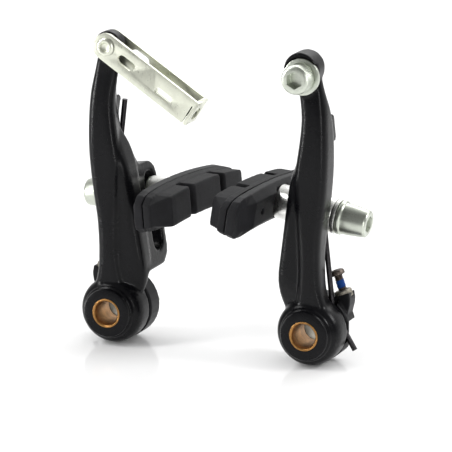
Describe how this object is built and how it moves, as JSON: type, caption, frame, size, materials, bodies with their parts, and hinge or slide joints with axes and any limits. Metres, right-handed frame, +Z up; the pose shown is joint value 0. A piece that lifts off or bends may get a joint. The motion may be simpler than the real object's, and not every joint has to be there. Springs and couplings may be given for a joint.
{
  "type": "mini v-brake",
  "caption": "Pair of pivoting rim brake arms with adjustable brake shoes, return springs, cable link and cable anchor bolt.",
  "frame": {"origin": "midway between the two pivot axes, on the plane in which both brake arms seat on their bosses", "axes": "+X from the left arm to the right arm, +Y rearwards to the bicycle's frame along the pivot axes, +Z up along the arms"},
  "size_m": [0.1015, 0.0709, 0.1063],
  "materials": {
    "black_paint": "satin black paint on forged aluminium",
    "bronze": "turned bronze with a bright rim",
    "zinc_steel": "zinc plated steel with a faint green tint",
    "bright_washer": "bright pale metal",
    "link_steel": "passivated pressed steel with a yellow-green tint",
    "pad_rubber": "dark grey matte rubber",
    "backing_plastic": "dark grey moulded backing",
    "seat_plastic": "black moulded plastic",
    "spring_wire": "black oxide spring wire",
    "screw_steel": "dark steel with a blue thread-lock band"
  },
  "bodies": {
    "root": {"left_pivot_collar": "zinc_steel", "right_pivot_collar": "zinc_steel", "left_spring_seat": "seat_plastic", "right_spring_seat": "seat_plastic", "left_seat_pin": "zinc_steel", "right_seat_pin": "zinc_steel", "left_screw_insert": "zinc_steel", "right_screw_insert": "zinc_steel", "left_return_spring": "spring_wire", "right_return_spring": "spring_wire"},
    "left_brake_arm": {"left_arm": "black_paint", "left_pivot_bush": "bronze", "link_rivet": "link_steel"},
    "right_brake_arm": {"right_arm": "black_paint", "right_pivot_bush": "bronze", "anchor_bolt": "zinc_steel", "anchor_washer": "zinc_steel"},
    "link": {"cable_link": "link_steel"},
    "left_ball_washers": {"left_inner_ball_washer": "zinc_steel", "left_outer_ball_washer": "zinc_steel"},
    "right_ball_washers": {"right_inner_ball_washer": "zinc_steel", "right_outer_ball_washer": "zinc_steel"},
    "left_cup_washers": {"left_inner_cup_washer": "bright_washer", "left_outer_cup_washer": "bright_washer"},
    "right_cup_washers": {"right_inner_cup_washer": "bright_washer", "right_outer_cup_washer": "bright_washer"},
    "left_shoe": {"left_shoe_stud": "zinc_steel", "left_shoe_backing": "backing_plastic", "left_friction_pad": "pad_rubber", "left_post_washer": "bright_washer", "left_post_nut": "zinc_steel"},
    "right_shoe": {"right_shoe_stud": "zinc_steel", "right_shoe_backing": "backing_plastic", "right_friction_pad": "pad_rubber", "right_post_washer": "bright_washer", "right_post_nut": "zinc_steel"},
    "left_screw": {"left_tension_screw": "screw_steel"},
    "right_screw": {"right_tension_screw": "screw_steel"}
  },
  "joints": [
    {"name": "left_arm_pivot", "type": "hinge", "parent": "root", "child": "left_brake_arm", "pos_m": [-0.03525, -0.0187, 0], "axis": [0, -1, 0], "range_deg": [-7, 20], "deforming": ["left_return_spring"]},
    {"name": "right_arm_pivot", "type": "hinge", "parent": "root", "child": "right_brake_arm", "pos_m": [0.03525, -0.0187, 0], "axis": [0, 1, 0], "range_deg": [-7, 20], "deforming": ["right_return_spring"]},
    {"name": "link_pivot", "type": "hinge", "parent": "left_brake_arm", "child": "link", "pos_m": [-0.03472, -0.0144, 0.08999], "axis": [0, -1, 0], "range_deg": [-10, 130]},
    {"name": "left_shoe_height", "type": "slide", "parent": "left_brake_arm", "child": "left_ball_washers", "axis": [-0.1564, 0, 0.9877], "range_m": [-0.0085, 0.0035]},
    {"name": "right_shoe_height", "type": "slide", "parent": "right_brake_arm", "child": "right_ball_washers", "axis": [0.1564, 0, 0.9877], "range_m": [-0.0085, 0.0035]},
    {"name": "left_shoe_toe", "type": "hinge", "parent": "left_ball_washers", "child": "left_cup_washers", "pos_m": [-0.03074, 0.0009, 0.03737], "axis": [-0.0802, 0, 0.9968], "range_deg": [-3.5, 3.5]},
    {"name": "right_shoe_toe", "type": "hinge", "parent": "right_ball_washers", "child": "right_cup_washers", "pos_m": [0.03074, 0.0009, 0.03737], "axis": [0.1564, 0, 0.9877], "range_deg": [-3.5, 3.5]},
    {"name": "left_shoe_turn", "type": "hinge", "parent": "left_cup_washers", "child": "left_shoe", "pos_m": [-0.03074, 0.0009, 0.03737], "axis": [-0.9968, 0, -0.0802], "range_deg": [-15, 15]},
    {"name": "right_shoe_turn", "type": "hinge", "parent": "right_cup_washers", "child": "right_shoe", "pos_m": [0.03074, 0.0009, 0.03737], "axis": [0.9877, 0, -0.1564], "range_deg": [-15, 15]},
    {"name": "left_spring_tension", "type": "slide", "parent": "root", "child": "left_screw", "axis": [-0.342, 0, -0.9397], "range_m": [-0.0015, 0.0015]},
    {"name": "right_spring_tension", "type": "slide", "parent": "root", "child": "right_screw", "axis": [0.342, 0, -0.9397], "range_m": [-0.0015, 0.0015]}
  ]
}
